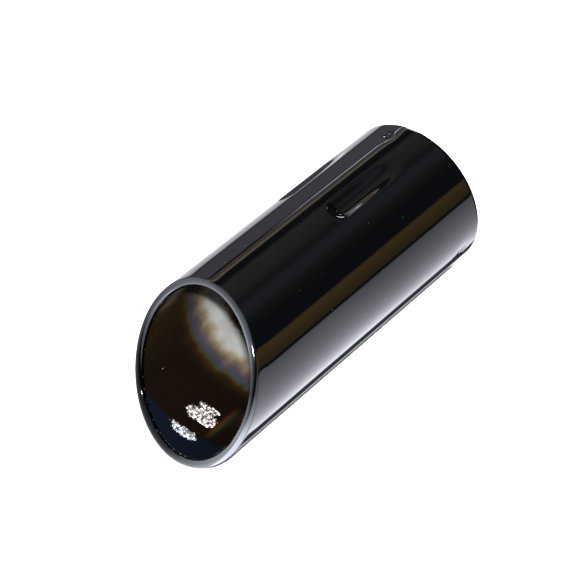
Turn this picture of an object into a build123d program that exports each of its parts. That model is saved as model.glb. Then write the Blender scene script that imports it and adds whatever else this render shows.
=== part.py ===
"""Slash-cut push-on exhaust tip: rolled-lip shell, three welded spring clips and their welds.

Frame, in millimetres: the tube axis is Y, the slanted mouth faces -Y and the inlet faces +Y.
+Z points through the short side of the slanted mouth. The origin is on the tube axis, in the
middle of the grip pads that hold the tailpipe. Angles around the tube start at +Z and grow
towards +X.
"""
from build123d import *
import os

# Shell
tube_radius = 38.0          # outside of the tube
wall = 1.0                  # sheet thickness
centre_length = 161.0       # inlet end to mouth plane, along the tube axis
slash_slope = 0.548         # how far the mouth plane leans back per unit of height
lip_radius = 2.1            # outside radius of the rolled lip
lip_proud = 0.1             # how far the roll stands out from the tube
lip_hollow_radius = 0.95    # air channel left inside the roll
lip_slot_radius = 0.45      # gap between the raw edge of the roll and the tube wall
inlet_edge_radius = 3.0     # inlet edge, turned inward
seam_angle = -40.0          # where the tube's seam runs, clear of the grooves and weld seats

# Pressed guide grooves, deepest at their mouth end
groove_angles = (-26.0, 26.0)
groove_tool_radius = 8.0
groove_depth = 2.4
groove_front = 66.3         # centre of the tool's round nose, from the inlet end
groove_back = 24.0          # where the groove has run out, from the inlet end

# Spring clips
clip_angles = {"top": 0.0, "right": 120.0, "left": -120.0}
grip_depth = 52.0           # inlet end to the middle of the grip pads
grip_radius = 29.0          # inside radius of the three pads with no tailpipe in them
base_thickness = 0.8
base_start = 4.5            # from the inlet end
base_end = 17.0
base_width = 16.0
leaf_thickness = 0.7
leaf_gap = 0.3              # bend line between base and leaf
leaf_root_radius = 36.5     # outside radius of the leaf where it leaves the base
leaf_root_length = 1.5      # runs level this far before it slopes in
leaf_width = 12.0
pad_width = 19.8
pad_length = 11.0           # between the bend points; 9.2 of it stays level between the bends
pad_tip_length = 4.5
pad_tip_rise = 1.5
bend_radius = 6.0
root_bend_radius = 3.0

# Spot welds that hold the clip bases
weld_depth = 12.0           # from the inlet end
weld_radius = 1.4
weld_proud = 0.2            # how far the nugget stands above the clip base
weld_sink = 0.25            # how far it sits below the outside of the tube

# Tack-weld runs on the inner wall by the mouth: half width and height of a bead
tack_height = 1.1
front_tack = {"inlet_distance": 166.4, "half_width": 2.4, "angles": (-168.0, -144.0)}
rear_tacks = (
    {"inlet_distance": 154.5, "half_width": 3.3, "angles": (-170.0, -143.0)},
    {"inlet_distance": 148.5, "half_width": 1.8, "angles": (-165.0, -147.0)},
    {"inlet_distance": 151.0, "half_width": 2.2, "angles": (-160.0, -151.0)},
)

inlet_y = grip_depth
mouth_y = inlet_y - centre_length
inner_radius = tube_radius - wall
slope_scale = (1 + slash_slope ** 2) ** 0.5


def profile_plane(outline):
    """Place an outline drawn as (distance along Y, radius) in the YZ plane."""
    return Plane.YZ * make_face(outline)


def around(shape, angle):
    """Turn a shape built at the top of the tube to an angle around the tube axis."""
    return shape.rotate(Axis.Y, angle)


def radial_pin(y, radius, low, high):
    """A round pin that points away from the tube axis at the top of the tube."""
    return extrude(Plane((0, y, low)) * Circle(radius), high - low)


def tube_of_revolution():
    """The tube with its inlet edge turned inward, before the mouth is cut."""
    front = mouth_y - 2 * tube_radius
    edge_y = inlet_y - inlet_edge_radius
    edge_centre = (edge_y, tube_radius - inlet_edge_radius)
    outline = (
        Line((front, tube_radius), (edge_y, tube_radius))
        + CenterArc(edge_centre, inlet_edge_radius, 90, -90)
        + Line((inlet_y, edge_centre[1]), (inlet_y - wall, edge_centre[1]))
        + CenterArc(edge_centre, inlet_edge_radius - wall, 0, 90)
        + Line((edge_y, inner_radius), (front, inner_radius))
        + Line((front, inner_radius), (front, tube_radius))
    )
    return around(revolve(profile_plane(outline), Axis.Y, 360), seam_angle)


def mouth_ring(radius_from_axis, section_radius, shift=0.0):
    """A round bar bent along the slanted mouth, at a given distance from the tube axis."""
    slanted = Plane((0, mouth_y + shift, 0), x_dir=(1, 0, 0), z_dir=(0, 1, -slash_slope))
    ellipse = Edge.make_ellipse(radius_from_axis, radius_from_axis * slope_scale, slanted)
    section = Plane(ellipse @ 0, z_dir=ellipse % 0) * Circle(section_radius)
    return sweep(section, path=ellipse)


def groove_tool(angle, radius):
    """The round-nosed punch that presses a groove, leaning so that the groove runs out."""
    nose = Vector(0, inlet_y - groove_front, tube_radius + groove_tool_radius - groove_depth)
    run_out = Vector(0, inlet_y - groove_back, tube_radius + groove_tool_radius)
    stroke = run_out - nose
    tail = stroke.length * 1.3
    outline = (
        CenterArc((0, 0), radius, 90, 90)
        + Line((-radius, 0), (tail, 0))
        + Line((tail, 0), (tail, radius))
        + Line((tail, radius), (0, radius))
    )
    along_stroke = Plane(nose, x_dir=stroke, z_dir=(1, 0, 0))
    punch = revolve(along_stroke * make_face(outline), Axis(nose, stroke), 360)
    return around(punch, angle)


def outer_shell():
    """Tube, slanted mouth with its hollow rolled lip, pressed grooves and weld seats."""
    slanted = Plane((0, mouth_y, 0), x_dir=(1, 0, 0), z_dir=(0, 1, -slash_slope))
    shell = split(tube_of_revolution(), bisect_by=slanted, keep=Keep.TOP)
    lip_centre = tube_radius + lip_proud - lip_radius
    shell += mouth_ring(lip_centre, lip_radius)
    shell -= mouth_ring(lip_centre, lip_hollow_radius)
    shell -= mouth_ring(lip_centre + lip_slot_radius, lip_slot_radius, lip_radius)

    core = Plane((0, inlet_y, 0), z_dir=(0, -1, 0)) * extrude(Circle(tube_radius - wall / 2), 90)
    for angle in groove_angles:
        shell += groove_tool(angle, groove_tool_radius + wall) & core
        shell -= groove_tool(angle, groove_tool_radius)
    for angle in clip_angles.values():
        seat = radial_pin(inlet_y - weld_depth, weld_radius, inner_radius - 3, tube_radius + 3)
        shell -= around(seat, angle)
    return shell


def formed_sheet(outline, plan):
    """Sheet metal curved around the tube axis, trimmed to a plan seen from above."""
    return revolve(profile_plane(outline), Axis.Y, 360) & extrude(plan, tube_radius)


def clip_base():
    """Curved plate that lies against the inner wall and is spot-welded to it."""
    top = inner_radius
    bottom = inner_radius - base_thickness
    start, end = inlet_y - base_start, inlet_y - base_end
    outline = Polyline((start, top), (end, top), (end, bottom), (start, bottom), close=True)
    plan = Pos(0, (start + end) / 2) * RectangleRounded(base_width, start - end, 2.0)
    hole = radial_pin(inlet_y - weld_depth, weld_radius, bottom - 3, top + 3)
    return formed_sheet(outline, plan) - hole


def clip_leaf():
    """Spring tongue: slopes in from the base to a saddle pad, and lifts again at its tip."""
    root_y = inlet_y - base_end - leaf_gap
    root = leaf_root_radius - leaf_thickness / 2
    pad = grip_radius + leaf_thickness / 2
    tip_y = -pad_length / 2 - pad_tip_length
    centre_line = FilletPolyline(
        (root_y, root),
        (root_y - leaf_root_length, root),
        (pad_length / 2, pad),
        (-pad_length / 2, pad),
        (tip_y, pad + pad_tip_rise),
        radius=[root_bend_radius, bend_radius, bend_radius],
    )
    sheet = revolve(Plane.YZ * trace(centre_line, leaf_thickness), Axis.Y, 360)
    half_leaf, half_pad = leaf_width / 2, pad_width / 2
    shoulder_y = pad_length / 2 + 1.0
    right_side = [
        (half_leaf, root_y + 1),
        (half_leaf, shoulder_y + 7.0),
        (half_pad, shoulder_y),
        (half_pad, tip_y - 1),
    ]
    left_side = [(-x, y) for x, y in reversed(right_side)]
    plan = make_face(Polyline(*right_side, *left_side, close=True))
    return sheet & extrude(plan, tube_radius)


def spot_weld():
    """Nugget that fills the weld seat and joins clip base and shell."""
    low = inner_radius - base_thickness - weld_proud
    return radial_pin(inlet_y - weld_depth, weld_radius, low, tube_radius - weld_sink)


def weld_run(inlet_distance, half_width, angles):
    """A low weld bead laid around part of the inner wall."""
    y = inlet_y - inlet_distance
    crown = ThreePointArc(
        (y + half_width, inner_radius), (y, inner_radius - tack_height), (y - half_width, inner_radius)
    )
    outline = crown + Line((y - half_width, inner_radius), (y + half_width, inner_radius))
    start, stop = angles
    return around(revolve(profile_plane(outline), Axis.Y, stop - start), start)


def rear_tack_weld():
    """Two neighbouring runs joined by a short bridge."""
    runs = [weld_run(**run) for run in rear_tacks]
    return runs[0] + runs[1] + runs[2]


def main():
    os.makedirs("parts", exist_ok=True)
    nodes = {
        "outer_shell": outer_shell(),
        "tack_weld_front": weld_run(**front_tack),
        "tack_weld_rear": rear_tack_weld(),
    }
    for side, angle in clip_angles.items():
        nodes[f"clip_base_{side}"] = around(clip_base(), angle)
        nodes[f"clip_leaf_{side}"] = around(clip_leaf(), angle)
        nodes[f"spot_weld_{side}"] = around(spot_weld(), angle)
    for name, shape in nodes.items():
        export_step(shape, f"parts/{name}.step")


main()
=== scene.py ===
"""Looks of a slash-cut black-chrome exhaust tip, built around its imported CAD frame.

The tube axis is Y: the slanted mouth faces -Y and the inlet +Y. Angles around the tube start at
+Z, where the slanted mouth is shortest, and grow towards +X. Sizes are in millimetres until they
go into a mesh, a light or the camera.
"""
from math import cos, exp, hypot, log, pi, radians, sin, sqrt, tan

import bpy
from mathutils import Matrix, Vector, noise


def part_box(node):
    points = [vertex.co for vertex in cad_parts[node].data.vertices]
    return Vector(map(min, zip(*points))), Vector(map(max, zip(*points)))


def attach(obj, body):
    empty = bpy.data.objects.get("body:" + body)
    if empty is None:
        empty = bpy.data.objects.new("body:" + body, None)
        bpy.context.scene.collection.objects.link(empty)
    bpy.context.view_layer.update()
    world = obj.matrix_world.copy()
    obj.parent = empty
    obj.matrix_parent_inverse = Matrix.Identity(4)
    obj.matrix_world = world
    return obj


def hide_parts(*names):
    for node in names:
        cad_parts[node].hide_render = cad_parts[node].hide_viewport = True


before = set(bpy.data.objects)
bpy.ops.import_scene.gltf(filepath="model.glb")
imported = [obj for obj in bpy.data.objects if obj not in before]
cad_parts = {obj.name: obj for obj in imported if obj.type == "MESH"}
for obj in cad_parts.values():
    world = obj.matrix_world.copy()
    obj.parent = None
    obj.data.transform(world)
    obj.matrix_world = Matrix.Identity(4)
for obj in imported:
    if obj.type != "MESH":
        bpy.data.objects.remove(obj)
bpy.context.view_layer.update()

MM = 0.001

# ---------------------------------------------------------------- sizes
shell_low, shell_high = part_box("outer_shell")
inlet_y = shell_high.y / MM            # the inlet end's plane
lip_proud = 0.1                        # the rolled lip stands out this far
tube_radius = shell_high.x / MM - lip_proud
wall = 1.0
bore_radius = tube_radius - wall
mouth_y = inlet_y - 161.0              # where the tube axis meets the mouth plane
slash_slope = 0.548
lip_radius = 2.1
lip_end_angle = 285.0                  # how far the sheet is rolled
lip_line_radius = tube_radius + lip_proud - lip_radius
lip_blend = 5.0                        # the tube runs out to the lip over this length
flecked_roll = (180.0, 218.0)          # the plating has bare flecks between these roll angles
inside_roll = 240.0                    # from this angle on, the roll has the inner wall's finish
inlet_edge_radius = 3.0
edge_ease = 0.15                       # rounding of raw sheet edges

groove_angles = (-26.0, 26.0)
groove_tool_radius = 8.0
groove_depth = 2.4
groove_nose_y = inlet_y - 66.3
groove_end_y = inlet_y - 24.0
groove_softness = 1.0                  # rounds the sheet over at the groove's lips
groove_reach = 45.0                    # a groove is only worked out this many degrees to each side

clip_angles = {"top": 0.0, "right": 120.0, "left": -120.0}
weld_y = inlet_y - 12.0
print_strength = {"top": 1.0, "right": 0.25, "left": 0.25}
print_reach = 16.0                     # a print's hollow has died out at this distance

base_low, base_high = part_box("clip_base_top")
base_start = base_high.y / MM          # the base's inlet end
base_end = base_low.y / MM
base_half_width = 8.0
base_corner = 2.0
base_thickness = 0.8
base_clearance = 0.03                  # keeps the base's face off the bore's

leaf_low, leaf_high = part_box("clip_leaf_top")
leaf_root_y = leaf_high.y / MM + 0.25  # the visible leaf reaches into the gap before its base
leaf_tip_y = leaf_low.y / MM
leaf_thickness = 0.7
leaf_half_width = 6.0
leaf_root_radius = 36.5                # outside of the leaf at its root
leaf_root_length = 1.75
pad_half_width = 9.9
pad_half_length = 5.5
pad_tip_rise = 1.5
shoulder_start = 14.0                  # the leaf widens into its pad between these distances
shoulder_end = 6.0
grip_radius = 29.0                     # inside of the pads
leaf_bends = (3.0, 6.0, 6.0)           # bend radii from root to tip

ground_z = shell_low.z / MM
painted_shadow_half_width = 15.0              # the floor's glow is turned down this far to each side of the tube, a painted contact shadow
painted_shadow_half_length = 84.0
painted_shadow_middle_y = -39.0

camera_aim = (0.0, -43.14, 2.43)
camera_azimuth = 49.40                 # degrees from -Y towards +X
camera_elevation = 31.12
camera_roll = -15.42
camera_distance = 1005.2
flash_rise = 82.0                      # the flash sits this far above the lens


# ---------------------------------------------------------------- small helpers
def on_tube(angle, y, radius):
    """A point, in metres, at an angle in degrees around the tube."""
    turn = radians(angle)
    return Vector((radius * sin(turn), y, radius * cos(turn))) * MM


def smoothstep(low, high, value):
    """A soft step from 0 at low to 1 at high."""
    t = min(max((value - low) / (high - low), 0.0), 1.0)
    return t * t * (3 - 2 * t)


def wrapped(angle):
    """An angle in degrees brought between -180 and 180."""
    return (angle + 180.0) % 360.0 - 180.0


def evenly(start, stop, step):
    """Numbers from start up to, not including, stop, about step apart."""
    count = max(1, round(abs(stop - start) / step))
    return [start + (stop - start) * i / count for i in range(count)]


def new_piece(name, points, faces, body, materials, face_materials=None):
    """A smooth-shaded mesh piece that rides on a body."""
    mesh = bpy.data.meshes.new(name)
    mesh.from_pydata([tuple(p) for p in points], [], faces)
    for material in materials:
        mesh.materials.append(material)
    if face_materials:
        mesh.polygons.foreach_set("material_index", face_materials)
    mesh.polygons.foreach_set("use_smooth", [True] * len(faces))
    mesh.update()
    piece = bpy.data.objects.new(name, mesh)
    bpy.context.scene.collection.objects.link(piece)
    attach(piece, body)
    return piece


# ---------------------------------------------------------------- node helpers
def add(tree, kind, inputs=None, **settings):
    """A new node with its settings, and with each input set to a value or linked to a socket."""
    node = tree.nodes.new(kind)
    for name, value in settings.items():
        setattr(node, name, value)
    for key, value in (inputs or {}).items():
        if isinstance(value, bpy.types.NodeSocket):
            tree.links.new(value, node.inputs[key])
        else:
            node.inputs[key].default_value = value
    return node


def calc(tree, operation, a, b=0.0, c=0.0):
    """A sum on sockets or numbers."""
    return add(tree, "ShaderNodeMath", {0: a, 1: b, 2: c}, operation=operation).outputs[0]


def remap(tree, value, low, high, to_low=0.0, to_high=1.0, style="SMOOTHSTEP"):
    """A value's range carried over to another range, clamped at both ends."""
    inputs = {"Value": value, "From Min": low, "From Max": high, "To Min": to_low, "To Max": to_high}
    return add(tree, "ShaderNodeMapRange", inputs, interpolation_type=style).outputs["Result"]


def texture(tree, where, scale, detail=2.0, roughness=0.5):
    """Noise of a given scale, in features per metre, read at a position."""
    inputs = {"Vector": where, "Scale": scale, "Detail": detail, "Roughness": roughness}
    return add(tree, "ShaderNodeTexNoise", inputs).outputs["Fac"]


def stretched(tree, where, x, y, z):
    """A position scaled along each axis, so that a texture read there is drawn out."""
    return add(tree, "ShaderNodeMapping", {"Vector": where, "Scale": (x, y, z)}).outputs["Vector"]


def ramp(tree, value, stops):
    """A colour ramp from (position, colour) stops."""
    node = add(tree, "ShaderNodeValToRGB", {"Fac": value})
    elements = node.color_ramp.elements
    while len(elements) < len(stops):
        elements.new(1.0)
    for element, (position, colour) in zip(elements, stops):
        element.position = position
        element.color = (*colour, 1.0)
    return node.outputs["Color"]


def mix_colour(tree, share, a, b):
    inputs = {0: share, 6: a, 7: b}
    return add(tree, "ShaderNodeMix", inputs, data_type="RGBA").outputs[2]


def mix_value(tree, share, a, b):
    inputs = {0: share, 2: a, 3: b}
    return add(tree, "ShaderNodeMix", inputs, data_type="FLOAT").outputs[0]


def bump(tree, height, distance):
    """A surface normal from a height between 0 and 1 that stands for a distance in metres."""
    return add(tree, "ShaderNodeBump", {"Height": height, "Distance": distance}).outputs["Normal"]


def new_material(name):
    """An empty node material: its tree, object position, and a Principled shader on the output."""
    material = bpy.data.materials.new(name)
    material.use_nodes = True
    tree = material.node_tree
    tree.nodes.clear()
    shader = add(tree, "ShaderNodeBsdfPrincipled")
    add(tree, "ShaderNodeOutputMaterial", {"Surface": shader.outputs[0]})
    where = add(tree, "ShaderNodeTexCoord").outputs["Object"]
    return material, tree, where, shader


def plug(tree, shader, **inputs):
    """Set or link the shader's sockets; an underscore in a name stands for a space."""
    for name, value in inputs.items():
        socket = shader.inputs[name.replace("_", " ")]
        if isinstance(value, bpy.types.NodeSocket):
            tree.links.new(value, socket)
        else:
            socket.default_value = value


def dust(tree, where, scale, share):
    """Small round specks in a share of a pattern's cells, as a mask from 0 to 1."""
    cells = add(tree, "ShaderNodeTexVoronoi", {"Vector": where, "Scale": scale})
    near = remap(tree, cells.outputs["Distance"], 0.05, 0.10, 1.0, 0.0)
    chosen = add(tree, "ShaderNodeSeparateColor", {0: cells.outputs["Color"]}).outputs[0]
    rare = calc(tree, "LESS_THAN", chosen, share)
    return calc(tree, "MULTIPLY", near, rare)


# ---------------------------------------------------------------- materials
def black_chrome():
    """Dark mirror plating: fine waviness, faint wiping haze and a few specks of dust."""
    material, tree, where, shader = new_material("black_chrome")
    specks = dust(tree, where, 430.0, 0.11)
    haze = texture(tree, where, 45.0, 4.0)
    waves = texture(tree, where, 160.0, 1.0)
    colour = mix_colour(tree, specks, (0.050, 0.050, 0.053, 1), (0.30, 0.29, 0.27, 1))
    rough = remap(tree, haze, 0.35, 0.75, 0.025, 0.055)
    plug(tree, shader, Metallic=1.0, Base_Color=colour, Roughness=mix_value(tree, specks, rough, 0.5),
         Normal=bump(tree, waves, 0.000004))
    return material


LIP_PLATING_AND_PAINTED_SHEEN = (
    # share of a turn from -180 degrees, and how bright the roll is there: part plating, part painted
    # reflection and shade, with a painted flash glow near 60 degrees
    (0.00, 0.120), (0.05, 0.048), (0.18, 0.030), (0.32, 0.033), (0.44, 0.075), (0.54, 0.110),
    (0.62, 0.150), (0.67, 0.180), (0.71, 0.060), (0.745, 0.028), (0.79, 0.090), (0.83, 0.180),
    (0.92, 0.160), (1.00, 0.120),
)


def lip_plating_and_painted_sheen(name, with_flecks):
    """Plating on the roll: its brightness changes around the mouth, partly as plating and partly as
    painted reflection, shade and flash glow, and its inner face has flecks.
    """
    material, tree, where, shader = new_material(name)
    axes = add(tree, "ShaderNodeSeparateXYZ", {0: where}).outputs
    around = calc(tree, "MULTIPLY_ADD", calc(tree, "ARCTAN2", axes["X"], axes["Z"]), 0.5 / pi, 0.5)
    cloud = texture(tree, where, 70.0, 3.0)
    bent = calc(tree, "MULTIPLY_ADD", cloud, 0.02, calc(tree, "SUBTRACT", around, 0.01))
    # painted light: this brightness table stands in for reflections, shade and the flash's glow on the
    # roll as well as its plating
    stops = tuple((place, (level * 0.96, level, level * 1.07)) for place, level in LIP_PLATING_AND_PAINTED_SHEEN)
    plating_and_painted_sheen = ramp(tree, bent, stops)
    plane = calc(tree, "MULTIPLY_ADD", axes["Z"], -slash_slope, axes["Y"])
    ahead = calc(tree, "SUBTRACT", mouth_y * MM, plane)
    share = remap(tree, ahead, -0.0006, 0.0010)
    colour = mix_colour(tree, share, (0.050, 0.050, 0.053, 1), plating_and_painted_sheen)
    rough = remap(tree, cloud, 0.35, 0.75, 0.04, 0.08)
    if with_flecks:
        flecks = remap(tree, texture(tree, where, 620.0, 3.0, 0.6), 0.60, 0.66)
        colour = mix_colour(tree, flecks, colour, (0.72, 0.70, 0.67, 1))
        rough = mix_value(tree, flecks, rough, 0.35)
    waves = texture(tree, where, 240.0, 2.0)
    plug(tree, shader, Metallic=1.0, Base_Color=colour, Roughness=rough,
         Normal=bump(tree, waves, 0.000006))
    return material


FRINGES = (
    # how thin the plating is, from 0 to 1, and its colour
    (0.00, (0.010, 0.006, 0.004)),
    (0.14, (0.013, 0.008, 0.004)),
    (0.28, (0.030, 0.017, 0.006)),
    (0.35, (0.070, 0.038, 0.011)),
    (0.40, (0.060, 0.070, 0.030)),
    (0.46, (0.060, 0.070, 0.105)),
    (0.58, (0.095, 0.080, 0.098)),
    (0.70, (0.190, 0.140, 0.100)),
    (0.82, (0.350, 0.285, 0.190)),
    (0.93, (0.500, 0.480, 0.420)),
    (1.00, (0.560, 0.570, 0.550)),
)
LIP_BLUE = (0.0065, 0.0105, 0.0200, 1)
SOOT = (0.010, 0.007, 0.005, 1)
# painted shade: the brown that the bore is darkened towards from about -112 to 40 degrees around
PAINTED_SHADE_BROWN = (0.034, 0.020, 0.008, 1)
STREAKS = (
    # coloured streaks in the plating: middle and half width in degrees, ends along the tube in metres
    (-173.0, 5.0, -0.113, -0.086),
    (-68.0, 5.0, -0.096, -0.080),
)


def bore_finish():
    """Inner wall: black by both ends, where plating reaches, and bare bright steel between. The black
    from the inlet starts where the lip's shadow from the flash begins, so it is partly painted shade.

    The plating thins with depth, so its colour runs through interference fringes. Close to the lip,
    where it is thickest, it turns dark blue. From about -112 to 40 degrees around, high on the left,
    the bore is painted darker and browner: painted shade.
    """
    material, tree, where, shader = new_material("bore_finish")
    axes = add(tree, "ShaderNodeSeparateXYZ", {0: where}).outputs
    drift = texture(tree, where, 30.0, 2.0)
    ripple = texture(tree, stretched(tree, where, 1.0, 0.4, 1.0), 180.0, 4.0, 0.6)
    wander = calc(tree, "MULTIPLY_ADD", drift, 0.012, calc(tree, "MULTIPLY", ripple, 0.008))
    depth = calc(tree, "ADD", axes["Y"], calc(tree, "SUBTRACT", wander, 0.010))
    from_mouth = remap(tree, depth, -0.0845, -0.0615, style="LINEAR")
    # plating from the inlet, its edge placed where the lip shades the flash: partly painted shade
    inlet_plating_and_painted_shade = remap(tree, depth, -0.044, -0.055, style="LINEAR")
    thinness = calc(tree, "MINIMUM", from_mouth, inlet_plating_and_painted_shade)
    colour = ramp(tree, thinness, FRINGES)
    cloud = texture(tree, where, 55.0, 4.0, 0.6)
    colour = mix_colour(tree, remap(tree, cloud, 0.35, 0.75, 0.0, 0.35), colour, SOOT)
    by_lip = remap(tree, calc(tree, "MULTIPLY_ADD", drift, 0.004, axes["Y"]), -0.1105, -0.1125)
    colour = mix_colour(tree, by_lip, colour, LIP_BLUE)
    around = calc(tree, "MULTIPLY", calc(tree, "ARCTAN2", axes["X"], axes["Z"]), 180 / pi)
    # painted shade: darker and browner from about -112 to 40 degrees around
    painted_shade_side = calc(tree, "MULTIPLY", remap(tree, around, -112.0, -72.0), remap(tree, around, 40.0, 0.0))
    colour = mix_colour(tree, calc(tree, "MULTIPLY", painted_shade_side, 0.62), colour, PAINTED_SHADE_BROWN)
    for middle, spread, near_y, far_y in STREAKS:
        off = calc(tree, "MULTIPLY_ADD", calc(tree, "SUBTRACT", ripple, 0.5), 5.0, around)
        off = calc(tree, "DIVIDE", calc(tree, "SUBTRACT", off, middle), spread)
        band = remap(tree, calc(tree, "ABSOLUTE", off), 0.5, 1.0, 1.0, 0.0)
        along = calc(tree, "DIVIDE", calc(tree, "SUBTRACT", axes["Y"], (near_y + far_y) / 2),
                     (far_y - near_y) / 2)
        band = calc(tree, "MULTIPLY", band, remap(tree, calc(tree, "ABSOLUTE", along), 0.3, 1.0, 1.0, 0.0))
        hue = ramp(tree, calc(tree, "MULTIPLY_ADD", off, 0.5, 0.5),
                   ((0.25, (0.012, 0.030, 0.010)), (0.42, (0.050, 0.050, 0.010)),
                    (0.55, (0.100, 0.035, 0.010)), (0.80, (0.050, 0.008, 0.006))))
        colour = mix_colour(tree, calc(tree, "MULTIPLY", band, 0.8), colour, hue)
    specks = dust(tree, where, 260.0, 0.08)
    bare = remap(tree, thinness, 0.35, 1.0)
    rough = mix_value(tree, bare, 0.16, 0.40)
    grain = texture(tree, stretched(tree, where, 1.0, 6.0, 1.0), 700.0, 3.0, 0.6)
    plug(tree, shader, Metallic=0.70, Specular_IOR_Level=0.1,
         Base_Color=mix_colour(tree, specks, colour, (0.5, 0.45, 0.4, 1)),
         Roughness=mix_value(tree, specks, rough, 0.5),
         Normal=bump(tree, calc(tree, "MULTIPLY", grain, bare), 0.000006))
    return material


def raw_edge():
    """Cut sheet edge, bare and slightly rough."""
    material, tree, where, shader = new_material("raw_edge")
    tooth = texture(tree, where, 1500.0, 4.0, 0.7)
    colour = ramp(tree, tooth, ((0.3, (0.30, 0.29, 0.28)), (0.7, (0.62, 0.61, 0.59))))
    plug(tree, shader, Metallic=1.0, Base_Color=colour,
         Roughness=remap(tree, tooth, 0.3, 0.7, 0.25, 0.5), Normal=bump(tree, tooth, 0.00004))
    return material


def weld_metal(name, tint):
    """Bright rough weld: bare metal crumbs, near-black in patches set by a noise of their own."""
    material, tree, where, shader = new_material(name)
    dark_patches = texture(tree, where, 780.0, 3.0, 0.6)
    crumbs = texture(tree, where, 1900.0, 3.0, 0.6)
    dark = tuple(0.04 * c for c in tint)
    dull = tuple(0.42 * c for c in tint)
    colour = ramp(tree, dark_patches, ((0.38, dark), (0.47, dull), (0.62, tint)))
    plug(tree, shader, Metallic=1.0, Base_Color=colour,
         Roughness=remap(tree, crumbs, 0.3, 0.7, 0.22, 0.42), Normal=bump(tree, crumbs, 0.00018))
    return material


def spring_steel():
    """Rolled spring strip: fine lengthwise grain and a straw-to-blue tint around the weld."""
    material, tree, where, shader = new_material("spring_steel")
    grain = texture(tree, stretched(tree, where, 1.0, 0.08, 1.0), 2400.0, 3.0, 0.6)
    stains = texture(tree, where, 160.0, 4.0, 0.6)
    axial = add(tree, "ShaderNodeSeparateXYZ", {0: where}).outputs["Y"]
    from_weld = calc(tree, "ABSOLUTE", calc(tree, "SUBTRACT", axial, weld_y * MM))
    heat = remap(tree, calc(tree, "MULTIPLY_ADD", stains, 0.0016, from_weld), 0.0022, 0.0062)
    steel = ramp(tree, grain, ((0.25, (0.44, 0.43, 0.42)), (0.75, (0.60, 0.59, 0.57))))
    tint = ramp(tree, heat, ((0.0, (0.18, 0.17, 0.20)), (0.35, (0.16, 0.20, 0.34)),
                             (0.6, (0.42, 0.27, 0.22)), (0.8, (0.60, 0.47, 0.27)),
                             (1.0, (0.60, 0.59, 0.57))))
    worn = mix_colour(tree, heat, tint, steel)
    plug(tree, shader, Metallic=1.0, Base_Color=worn,
         Roughness=calc(tree, "MULTIPLY_ADD", stains, 0.22, 0.20), Normal=bump(tree, grain, 0.00002))
    return material


def pale_floor():
    """White glowing floor with a barely visible tooth; its glow is turned down right under the tube, a
    painted contact shadow.
    """
    material, tree, where, shader = new_material("pale_floor")
    tooth = texture(tree, where, 300.0, 3.0)
    colour = ramp(tree, texture(tree, where, 4.0, 2.0), ((0.3, (0.86, 0.86, 0.86)),
                                                         (0.7, (0.89, 0.89, 0.89))))
    axes = add(tree, "ShaderNodeSeparateXYZ", {0: where}).outputs
    aside = calc(tree, "ABSOLUTE", axes["X"])
    along = calc(tree, "ABSOLUTE", calc(tree, "SUBTRACT", axes["Y"], painted_shadow_middle_y * MM))
    outside_painted_shadow_aside = remap(tree, aside, painted_shadow_half_width * MM, (painted_shadow_half_width + 3.5) * MM)
    outside_painted_shadow_along = remap(tree, along, painted_shadow_half_length * MM, (painted_shadow_half_length + 8) * MM)
    # painted shadow: the glow drops to 0.05 in a strip right under the tube
    glow = calc(tree, "MAXIMUM", calc(tree, "MAXIMUM", outside_painted_shadow_aside, outside_painted_shadow_along), 0.05)
    plug(tree, shader, Base_Color=colour, Roughness=0.85, Normal=bump(tree, tooth, 0.00003),
         Emission_Color=(1.0, 1.0, 1.0, 1.0), Emission_Strength=glow)
    return material


# ---------------------------------------------------------------- shell shape
def groove_sink(angle, y):
    """How far the pressed grooves push the sheet in, in millimetres.

    Each is the print of a round-nosed punch whose depth dies out towards the inlet.
    """
    fade = 1 - smoothstep(groove_end_y - 13, groove_end_y + 3, y)
    if fade <= 0:
        return 0.0
    ease = min(max((y - groove_nose_y) / (groove_end_y - groove_nose_y), 0.0), 1.0)
    depth = groove_depth * (1 - ease ** 2.2)
    line_radius = tube_radius + groove_tool_radius - depth
    ahead = min(y - groove_nose_y, 0.0)
    section = sqrt(max(groove_tool_radius ** 2 - ahead ** 2, 0.0))
    sink = 0.0
    for groove in groove_angles:
        aside = wrapped(angle - groove)
        across = line_radius * sin(radians(aside))
        if abs(aside) > groove_reach or abs(across) >= section:
            continue
        height = line_radius * cos(radians(aside))
        inside = tube_radius - (height - sqrt(section ** 2 - across ** 2))
        sink += groove_softness * log(1 + exp(min(inside / groove_softness, 60.0)))
    return sink * fade


def weld_print(angle, y):
    """How far the welding electrodes' prints sink into the sheet, in millimetres.

    Each is a pinched pit with a raised ring and a moat, in a shallow hollow of the sheet.
    """
    sink = 0.0
    for side, clip_angle in clip_angles.items():
        along = radians(wrapped(angle - clip_angle)) * tube_radius
        reach = hypot(along, y - weld_y)
        if reach > print_reach:
            continue
        uneven = noise.noise(Vector((along * 0.8, y * 0.8, 4.0)))
        pinch = (0.30 + 0.25 * uneven) * exp(-((reach / 1.0) ** 2))
        ring = (0.14 + 0.16 * uneven) * exp(-(((reach - 1.8) / 0.45) ** 2))
        moat = (0.10 - 0.12 * uneven) * exp(-(((reach - 2.9) / 0.55) ** 2))
        hollow = 0.20 * exp(-((reach / 5.0) ** 2))
        sink += print_strength[side] * (pinch - ring + moat) + hollow
    return sink


def lip_centre_y(angle):
    """Where along the tube the middle of the rolled lip is."""
    return mouth_y + slash_slope * lip_line_radius * cos(radians(angle))


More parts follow.
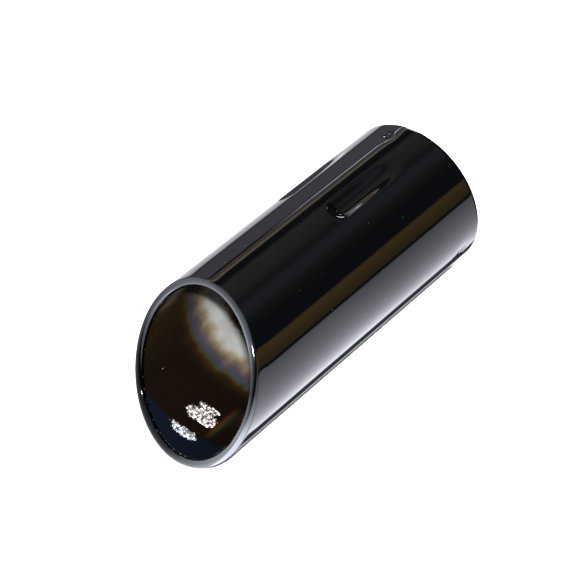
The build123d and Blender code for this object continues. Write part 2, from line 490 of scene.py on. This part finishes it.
def lip_point(angle, roll, radius):
    """A point on the rolled lip: roll 0 faces away from the tube axis, 90 faces out of the mouth."""
    turn = radians(angle)
    centre = Vector((lip_line_radius * sin(turn), lip_centre_y(angle), lip_line_radius * cos(turn)))
    outward = Vector((sin(turn), 0, cos(turn)))
    along = Vector((cos(turn), -slash_slope * sin(turn), -sin(turn))).normalized()
    forward = outward.cross(along)
    if forward.y > 0:
        forward.negate()
    spot = centre + radius * (cos(radians(roll)) * outward + sin(radians(roll)) * forward)
    return spot * MM


def column_angles():
    """Columns around the tube, closer together at the grooves and closest at the weld prints."""
    angles = []
    angle = -180.0
    while angle < 180.0:
        angles.append(angle)
        from_weld = min(abs(wrapped(angle - a)) for a in clip_angles.values())
        from_groove = min(abs(wrapped(angle - a)) for a in groove_angles)
        step = 1.5
        if from_groove < 15.5:
            step = 0.6
        if from_weld < 4.5:
            step = 0.3
        angle = round(angle + step, 6)
    return angles


def wall_rows(step):
    """Distances along the tube for the rows from the grooves' front to the inlet edge."""
    groove_front = groove_nose_y - groove_tool_radius - 2
    edge_y = inlet_y - inlet_edge_radius
    return (
        evenly(groove_front, groove_nose_y, step * 0.75)
        + evenly(groove_nose_y, groove_end_y, step * 1.6)
        + evenly(groove_end_y, weld_y - 3, step * 2.0)
        + evenly(weld_y - 3, weld_y + 3, step * 0.5)
        + evenly(weld_y + 3, edge_y, step * 1.5)
    )


def section(angle, rows_out, rows_in):
    """The sheet's closed outline at one angle: lip, outside, inlet edge, inside, back into the lip.

    Returns the points and, for each stretch between two points, which finish it has.
    """
    points = []
    finishes = []

    def put(point, finish):
        points.append(point)
        finishes.append(finish)

    inner_roll = lip_radius - wall
    for roll in evenly(lip_end_angle, 0, 7.5):
        finish = "lip_edge" if flecked_roll[0] < roll < flecked_roll[1] else "lip"
        put(lip_point(angle, roll, lip_radius), finish if roll < inside_roll else "inside")
    start = lip_centre_y(angle)
    for share in evenly(0, 1, 1 / 16):
        y = start + (rows_out[0] - start) * share ** 1.5
        flare = lip_proud * (1 - smoothstep(0, lip_blend, y - start))
        put(on_tube(angle, y, tube_radius + flare - groove_sink(angle, y)), "outside")
    for y in rows_out:
        sink = groove_sink(angle, y) + weld_print(angle, y)
        put(on_tube(angle, y, tube_radius - sink), "outside")

    edge_y = inlet_y - inlet_edge_radius
    edge_r = tube_radius - inlet_edge_radius
    for turn in evenly(0, 90, 9):
        y = edge_y + inlet_edge_radius * sin(radians(turn))
        radius = edge_r + inlet_edge_radius * cos(radians(turn))
        put(on_tube(angle, y, radius - weld_print(angle, y)), "outside")
    put(on_tube(angle, inlet_y - edge_ease, edge_r), "raw_edge")
    put(on_tube(angle, inlet_y - wall + edge_ease, edge_r), "inside")
    inner_edge = inlet_edge_radius - wall
    for turn in [85] + evenly(75, 0, 15):
        put(on_tube(angle, edge_y + inner_edge * sin(radians(turn)),
                    edge_r + inner_edge * cos(radians(turn))), "inside")
    for y in reversed(rows_in):
        put(on_tube(angle, y, bore_radius - groove_sink(angle, y)), "inside")
    for share in evenly(1, 0, 1 / 14)[1:]:
        y = start + (rows_in[0] - start) * share ** 1.5
        flare = lip_proud * (1 - smoothstep(0, lip_blend, y - start))
        put(on_tube(angle, y, bore_radius + flare - groove_sink(angle, y)), "inside")
    for roll in evenly(0, lip_end_angle, 12):
        put(lip_point(angle, roll, inner_roll), "inside")
    put(lip_point(angle, lip_end_angle, inner_roll + edge_ease), "raw_edge")
    return points, finishes


def build_shell(finish_materials):
    """The whole sheet as one closed skin of quads."""
    rows_out = wall_rows(0.55)
    rows_in = wall_rows(1.1)
    columns = column_angles()
    names = list(finish_materials)
    points = []
    faces = []
    face_materials = []
    for angle in columns:
        outline, finishes = section(angle, rows_out, rows_in)
        points += outline
    per_column = len(outline)
    for i in range(len(columns)):
        here = i * per_column
        there = (i + 1) % len(columns) * per_column
        for j in range(per_column):
            k = (j + 1) % per_column
            faces.append((here + j, there + j, there + k, here + k))
            face_materials.append(names.index(finishes[j]))
    return new_piece("shell", points, faces, "shell",
                     list(finish_materials.values()), face_materials)


# ---------------------------------------------------------------- clips
def formed_strip(name, stations, columns, thickness, angle, body, material):
    """Curved sheet metal from stations of (y, radius, half width), thickened and eased.

    Each station is an arc around the tube axis, and the strip is turned to its clip's angle.
    """
    points = []
    faces = []
    for y, radius, half_width in stations:
        for c in range(columns + 1):
            x = half_width * (2 * c / columns - 1)
            points.append(Vector((x, y, sqrt(radius ** 2 - x ** 2))) * MM)
    for s in range(len(stations) - 1):
        for c in range(columns):
            a = s * (columns + 1) + c
            faces.append((a, a + 1, a + columns + 2, a + columns + 1))
    piece = new_piece(name, points, faces, body, [material])
    piece.data.transform(Matrix.Rotation(radians(angle), 4, "Y"))
    solid = piece.modifiers.new("sheet", "SOLIDIFY")
    solid.thickness = thickness * MM
    solid.offset = 0.0
    ease = piece.modifiers.new("eased_edges", "BEVEL")
    ease.width = 0.14 * MM
    ease.segments = 2
    ease.limit_method = "ANGLE"
    return piece


def rounded_ends(start, stop, half_width, corner):
    """Stations of (y, half width) for a plate with rounded corners."""
    middle = (start + stop) / 2
    half_length = abs(stop - start) / 2
    offsets = []
    for t in range(9):
        offsets.append(half_length - corner * (1 - sin(radians(90 * (1 - t / 8)))))
    offsets += evenly(half_length - corner, 0, 0.35)[1:]
    rows = []
    for away in offsets:
        past = max(away - (half_length - corner), 0.0)
        rows.append((away, half_width - corner + sqrt(max(corner ** 2 - past ** 2, 0.0))))
    rows = rows + [(0.0, half_width)] + [(-a, w) for a, w in reversed(rows)]
    return [(middle + a, w) for a, w in rows]


def bend_path(corners, radii, step):
    """Points along straight runs joined by arcs, about a step apart."""
    path = [Vector(corners[0])]
    for i in range(1, len(corners) - 1):
        before, here, after = (Vector(corners[i + k]) for k in (-1, 0, 1))
        back = (before - here).normalized()
        ahead = (after - here).normalized()
        reach = radii[i - 1] * tan((pi - back.angle(ahead)) / 2)
        enter = here + back * reach
        leave = here + ahead * reach
        start = path[-1]
        for t in evenly(0, 1, step / max((enter - start).length, step))[1:]:
            path.append(start.lerp(enter, t))
        for k in range(9):
            path.append(enter.lerp(here, k / 8).lerp(here.lerp(leave, k / 8), k / 8))
    start = path[-1]
    end = Vector(corners[-1])
    for t in evenly(0, 1, step / max((end - start).length, step))[1:]:
        path.append(start.lerp(end, t))
    path.append(end)
    return path


def build_base(side, angle, steel):
    """The clip's plate against the bore."""
    radius = bore_radius - base_thickness / 2 - base_clearance
    outline = rounded_ends(base_start, base_end, base_half_width, base_corner)
    stations = [(y, radius, half_width) for y, half_width in outline]
    base = formed_strip(f"clip_plate_{side}", stations, 24, base_thickness, angle, "shell", steel)
    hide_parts(f"clip_base_{side}")


def build_leaf(side, angle, steel):
    """The clip's spring tongue, with a saddle pad and a lifted tip."""
    root_radius = leaf_root_radius - leaf_thickness / 2
    pad_radius = grip_radius + leaf_thickness / 2
    corners = [
        (leaf_root_y, root_radius),
        (leaf_root_y - leaf_root_length, root_radius),
        (pad_half_length, pad_radius),
        (-pad_half_length, pad_radius),
        (leaf_tip_y + 0.1, pad_radius + pad_tip_rise),
    ]
    stations = []
    for y, radius in bend_path(corners, leaf_bends, 0.8):
        widen = smoothstep(shoulder_start, shoulder_end, y)
        trim = 1.6 * smoothstep(leaf_tip_y + 2.5, leaf_tip_y, y) ** 2
        half_width = leaf_half_width + (pad_half_width - leaf_half_width) * widen - trim
        stations.append((y, radius, half_width))
    leaf = formed_strip(f"clip_spring_{side}", stations, 22, leaf_thickness, angle, f"leaf_{side}", steel)
    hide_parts(f"clip_leaf_{side}")


def build_nugget(side, angle, metal):
    """The inside face of a spot weld: a low button with a sunk middle."""
    rings = 9
    spokes = 28
    button_radius = 1.9
    seat = bore_radius - base_thickness
    heights = []
    for r in range(rings + 1):
        reach = button_radius * r / rings
        crown = 0.22 * (1 - smoothstep(1.0, button_radius, reach))
        heights.append((reach, seat + 0.02 - crown + 0.16 * exp(-((reach / 0.6) ** 2))))
    heights.append((button_radius, seat + 0.35))
    points = []
    for reach, height in heights:
        for k in range(spokes):
            turn = 2 * pi * k / spokes
            points.append(Vector((reach * cos(turn), weld_y + reach * sin(turn), height)) * MM)
    faces = []
    for r in range(rings + 1):
        for k in range(spokes):
            a = r * spokes + k
            b = r * spokes + (k + 1) % spokes
            faces.append((a, b, b + spokes, a + spokes))
    faces.append(tuple((rings + 1) * spokes + k for k in range(spokes)))
    faces.append(tuple(reversed(range(spokes))))
    piece = new_piece(f"weld_button_{side}", points, faces, "shell", [metal])
    piece.data.transform(Matrix.Rotation(radians(angle), 4, "Y"))
    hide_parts(f"spot_weld_{side}")


# ---------------------------------------------------------------- tack welds
FRONT_TACK = (
    # middle along the tube, half width, first and last angle of each bar of weld
    (inlet_y - 166.4, 2.4, -168.0, -144.0),
)
REAR_TACKS = (
    (inlet_y - 154.5, 3.3, -170.0, -143.0),
    (inlet_y - 148.5, 1.8, -165.0, -147.0),
    (inlet_y - 151.0, 2.2, -160.0, -151.0),
)


def build_tack(name, node, runs, seed, metal):
    """A rough weld patch on the inner wall: bars of (middle y, half width, low and high angle)."""
    step = 0.16
    margin = 1.2
    low_y = min(y - w for y, w, a, b in runs) - margin
    high_y = max(y + w for y, w, a, b in runs) + margin
    low_a = min(a for y, w, a, b in runs) - margin * 1.5
    high_a = max(b for y, w, a, b in runs) + margin * 1.5
    arc = radians(high_a - low_a) * bore_radius
    count_y = round((high_y - low_y) / step)
    count_a = round(arc / step)
    points = []
    for i in range(count_a + 1):
        angle = low_a + (high_a - low_a) * i / count_a
        for j in range(count_y + 1):
            y = low_y + (high_y - low_y) * j / count_y
            height = tack_height(angle, y, runs, seed)
            points.append(on_tube(angle, y, bore_radius - height))
    row = count_y + 1
    faces = []
    for i in range(count_a):
        for j in range(count_y):
            a = i * row + j
            corners = (a, a + row, a + row + 1, a + 1)
            if any((points[c].xz.length / MM) < bore_radius - 0.01 for c in corners):
                faces.append(corners)
    used = sorted({c for face in faces for c in face})
    new_index = {old: new for new, old in enumerate(used)}
    points = [points[c] for c in used]
    faces = [tuple(new_index[c] for c in face) for face in faces]
    points, faces = closed_from_sheet(points, faces)
    piece = new_piece(name, points, faces, "shell", [metal])
    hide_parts(node)


def closed_from_sheet(points, faces):
    """Give an open sheet on the bore a back, sunk into the wall, so that it is a closed solid."""
    sink = 0.35
    edges = {}
    for face in faces:
        edges.update(dict.fromkeys(zip(face, face[1:] + face[:1])))
    count = len(points)
    backs = []
    for p in points:
        outward = Vector((p.x, 0, p.z)).normalized()
        back = outward * (bore_radius + sink) * MM
        backs.append(Vector((back.x, p.y, back.z)))
    sides = [(b, a, a + count, b + count) for a, b in edges if (b, a) not in edges]
    reversed_faces = [tuple(c + count for c in reversed(face)) for face in faces]
    return points + backs, faces + reversed_faces + sides


def tack_height(angle, y, runs, seed):
    """Height of the rough weld above the bore: a ragged crown broken into crumbs and furrows."""
    along = radians(angle) * bore_radius
    fray = noise.noise(Vector((along * 0.55, y * 0.55, seed))) * 0.75
    fray += noise.noise(Vector((along * 1.3, y * 1.3, seed + 7.0))) * 0.65
    crown = -1.0
    for middle, half_width, low, high in runs:
        centre = radians((low + high) / 2) * bore_radius
        half_length = radians((high - low) / 2) * bore_radius
        across = abs(y - middle) / half_width
        length = abs(along - centre) / half_length
        crown = max(crown, 1 - across ** 2.2 - length ** 3.5)
    mound = crown + fray
    if mound <= 0:
        return -0.05
    rough = noise.noise(Vector((along * 0.95, y * 1.15, seed + 3.0)))
    folds = 0.5 - abs(noise.noise(Vector((along * 1.25, y * 1.25, seed + 19.0))))
    crumbs = noise.noise(Vector((along * 2.6, y * 2.6, seed + 11.0)))
    height = 0.50 * min(mound, 1.0) ** 0.5 + 0.75 * rough + 0.55 * (folds - 0.3) + 0.22 * crumbs
    return max(height, -0.03)


# ---------------------------------------------------------------- surroundings
STUDIO = (
    # what it is, first and last angle, softness of both ends, light at both ends,
    # share of that light by the mouth and by the inlet, colour
    ("board, right of the tube", 108.7, 192.0, 2.5, 7.0, 1.15, 3.9, 1.0, 0.80, (0.99, 1.00, 1.08)),
    ("board, left of the tube", -142.0, -85.0, 15.0, 4.0, 1.15, 1.20, 1.0, 1.0, (0.98, 0.99, 1.03)),
    ("grey wall", -81.5, -49.0, 1.5, 1.5, 0.11, 0.46, 1.0, 1.0, (1.00, 0.98, 1.12)),
    ("window slit", -47.0, -45.4, 0.5, 0.7, 5.0, 4.2, 0.0, 1.0, (0.90, 0.98, 1.12)),
    ("dim curtain", -45.2, -40.5, 1.5, 1.0, 0.56, 0.56, 1.0, 1.0, (1.00, 0.80, 0.55)),
    ("lit curtain", -39.6, -35.4, 1.6, 2.2, 1.35, 1.15, 1.0, 0.9, (1.00, 0.85, 0.60)),
    ("warm ceiling", -22.0, 12.0, 9.0, 18.0, 0.27, 0.16, 1.0, 0.9, (1.00, 0.88, 0.66)),
    ("cool ceiling panel", 18.0, 36.0, 14.0, 14.0, 0.16, 0.15, 1.0, 1.0, (0.97, 1.00, 1.10)),
    ("ceiling edge", 34.0, 54.0, 8.0, 18.0, 0.06, 0.02, 1.0, 1.0, (1.00, 1.00, 1.00)),
    ("brown cupboard", 81.5, 104.3, 3.4, 2.4, 0.68, 0.29, 1.0, 0.9, (1.00, 0.60, 0.12)),
)
FRONT = (
    # the same for what lies in front of the mouth
    ("paper sweep, right", 88.0, 200.0, 8.0, 20.0, 2.0, 5.5, 1.0, 1.0, (0.97, 1.00, 1.06)),
    ("paper sweep, left", -160.0, -44.0, 20.0, 24.0, 2.4, 1.1, 1.0, 1.0, (0.98, 1.00, 1.05)),
    ("dim upper side", -44.0, 44.0, 24.0, 20.0, 0.8, 0.4, 1.0, 1.0, (0.95, 1.00, 1.08)),
)
LAMPS = (
    # distant lamps beyond the inlet: direction, half width in degrees, strength, colour
    ("white lamp", (-0.473, 0.850, 0.233), 6.0, 16.0, (0.95, 1.00, 1.08)),
    ("orange lamp", (-0.012, 0.840, 0.543), 2.6, 7.0, (1.00, 0.55, 0.15)),
)
ROOM = (0.066, 0.072, 0.086)
SEAM = 158.0                           # card angles run from minus this through one full turn


def card_light(tree, angle, inward, cards, base):
    """Light from a set of soft-edged cards, each given by its angles around the tube axis."""
    light = add(tree, "ShaderNodeCombineXYZ", {0: base[0], 1: base[1], 2: base[2]}).outputs[0]
    for what, first, last, soft_in, soft_out, low, high, by_mouth, by_inlet, colour in cards:
        rise = remap(tree, angle, first - soft_in / 2, first + soft_in / 2)
        fall = remap(tree, angle, last - soft_out / 2, last + soft_out / 2, 1.0, 0.0)
        level = remap(tree, angle, first, last, low, high, "LINEAR")
        level = calc(tree, "MULTIPLY", level, mix_value(tree, inward, by_mouth, by_inlet))
        amount = calc(tree, "MULTIPLY", calc(tree, "MULTIPLY", rise, fall), level)
        inputs = {0: colour, "Scale": amount}
        card = add(tree, "ShaderNodeVectorMath", inputs, operation="SCALE", label=what)
        light = add(tree, "ShaderNodeVectorMath", {0: light, 1: card.outputs[0]}).outputs[0]
    return light


def studio_world(scene):
    """White board and dim room around the tube, as mirror reflections see them.

    The cards are strips along the tube axis, placed by their angle around it, with other cards
    in front of the mouth. What is matte is lit by plain even white light instead.
    """
    world = bpy.data.worlds.new("studio")
    scene.world = world
    world.use_nodes = True
    tree = world.node_tree
    tree.nodes.clear()
    direction = add(tree, "ShaderNodeTexCoord").outputs["Generated"]
    axes = add(tree, "ShaderNodeSeparateXYZ", {0: direction})
    turn = calc(tree, "ARCTAN2", axes.outputs["X"], axes.outputs["Z"])
    angle = calc(tree, "MULTIPLY_ADD", turn, 180 / pi, SEAM)
    angle = calc(tree, "SUBTRACT", calc(tree, "FLOORED_MODULO", angle, 360.0), SEAM)
    inward = remap(tree, axes.outputs["Y"], 0.560, 0.595)          # from mouth shares to inlet shares
    around_light = card_light(tree, angle, inward, STUDIO, ROOM)
    front_light = card_light(tree, angle, inward, FRONT, ROOM)
    front = remap(tree, axes.outputs["Y"], 0.34, -0.05)            # towards the mouth's side
    light = mix_colour(tree, front, around_light, front_light)
    far_end = remap(tree, axes.outputs["Y"], 0.66, 0.78)           # the dim room beyond the inlet
    light = mix_colour(tree, far_end, light, (0.05, 0.05, 0.055, 1))
    for what, toward, half_angle, strength, colour in LAMPS:
        inputs = {0: direction, 1: Vector(toward).normalized()}
        facing = add(tree, "ShaderNodeVectorMath", inputs, operation="DOT_PRODUCT").outputs["Value"]
        rim = cos(radians(half_angle))
        glow = remap(tree, facing, rim, (1 + rim) / 2, 0.0, strength)
        inputs = {0: colour, "Scale": glow}
        lamp = add(tree, "ShaderNodeVectorMath", inputs, operation="SCALE", label=what)
        light = add(tree, "ShaderNodeVectorMath", {0: light, 1: lamp.outputs[0]}).outputs[0]
    mirrored = add(tree, "ShaderNodeBackground", {"Color": light})
    path = add(tree, "ShaderNodeLightPath").outputs
    strength = mix_value(tree, path["Is Camera Ray"], 0.30, 1.12)
    even = add(tree, "ShaderNodeBackground", {"Color": (1, 1, 1, 1), "Strength": strength})
    pair = {0: path["Is Glossy Ray"], 1: even.outputs[0], 2: mirrored.outputs[0]}
    both = add(tree, "ShaderNodeMixShader", pair)
    add(tree, "ShaderNodeOutputWorld", {"Surface": both.outputs[0]})


def build_floor():
    """A wide pale floor under the tube; mirror reflections see the studio board instead."""
    half = 3.0
    height = ground_z * MM
    corners = [(-half, -half, height), (half, -half, height), (half, half, height), (-half, half, height)]
    mesh = bpy.data.meshes.new("floor")
    mesh.from_pydata(corners, [], [(0, 1, 2, 3)])
    mesh.materials.append(pale_floor())
    floor_piece = bpy.data.objects.new("floor", mesh)
    bpy.context.scene.collection.objects.link(floor_piece)
    floor_piece.visible_glossy = False


def add_camera(scene):
    """The camera, high to the right of the mouth and rolled a little, aimed just above the axis."""
    data = bpy.data.cameras.new("camera")
    data.sensor_width = 36.0
    data.lens = 135.55
    data.clip_start = 0.05
    camera = bpy.data.objects.new("camera", data)
    scene.collection.objects.link(camera)
    camera.matrix_world = (
        Matrix.Translation(Vector(camera_aim) * MM)
        @ Matrix.Rotation(radians(camera_azimuth), 4, "Z")
        @ Matrix.Rotation(radians(90.0 - camera_elevation), 4, "X")
        @ Matrix.Translation((0.0, 0.0, camera_distance * MM))
        @ Matrix.Rotation(radians(camera_roll), 4, "Z")
    )
    scene.camera = camera
    return camera


def add_flash(scene, camera):
    """A small flash above the lens, for the sparkle on the lip and the light down the bore."""
    data = bpy.data.lights.new("flash", "AREA")
    data.shape = "RECTANGLE"
    data.size = 45.0 * MM
    data.size_y = 28.0 * MM
    data.energy = 32.0
    flash = bpy.data.objects.new("flash", data)
    scene.collection.objects.link(flash)
    flash.matrix_world = camera.matrix_world @ Matrix.Translation((0.0, flash_rise * MM, 0.0))


# ---------------------------------------------------------------- everything
scene = bpy.context.scene
scene.view_settings.view_transform = "Standard"

shell = build_shell({
    "outside": black_chrome(),
    "lip": lip_plating_and_painted_sheen("lip_plating_and_painted_sheen", False),
    "lip_edge": lip_plating_and_painted_sheen("lip_edge", True),
    "inside": bore_finish(),
    "raw_edge": raw_edge(),
})
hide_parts("outer_shell")

steel = spring_steel()
nugget_metal = weld_metal("nugget_metal", (0.45, 0.44, 0.43))
for side, clip_angle in clip_angles.items():
    build_base(side, clip_angle, steel)
    build_leaf(side, clip_angle, steel)
    build_nugget(side, clip_angle, nugget_metal)

front_metal = weld_metal("front_weld_metal", (0.74, 0.77, 0.82))
rear_metal = weld_metal("rear_weld_metal", (0.80, 0.71, 0.67))
build_tack("tack_front", "tack_weld_front", FRONT_TACK, 2.0, front_metal)
build_tack("tack_rear", "tack_weld_rear", REAR_TACKS, 5.0, rear_metal)

build_floor()
studio_world(scene)
add_flash(scene, add_camera(scene))
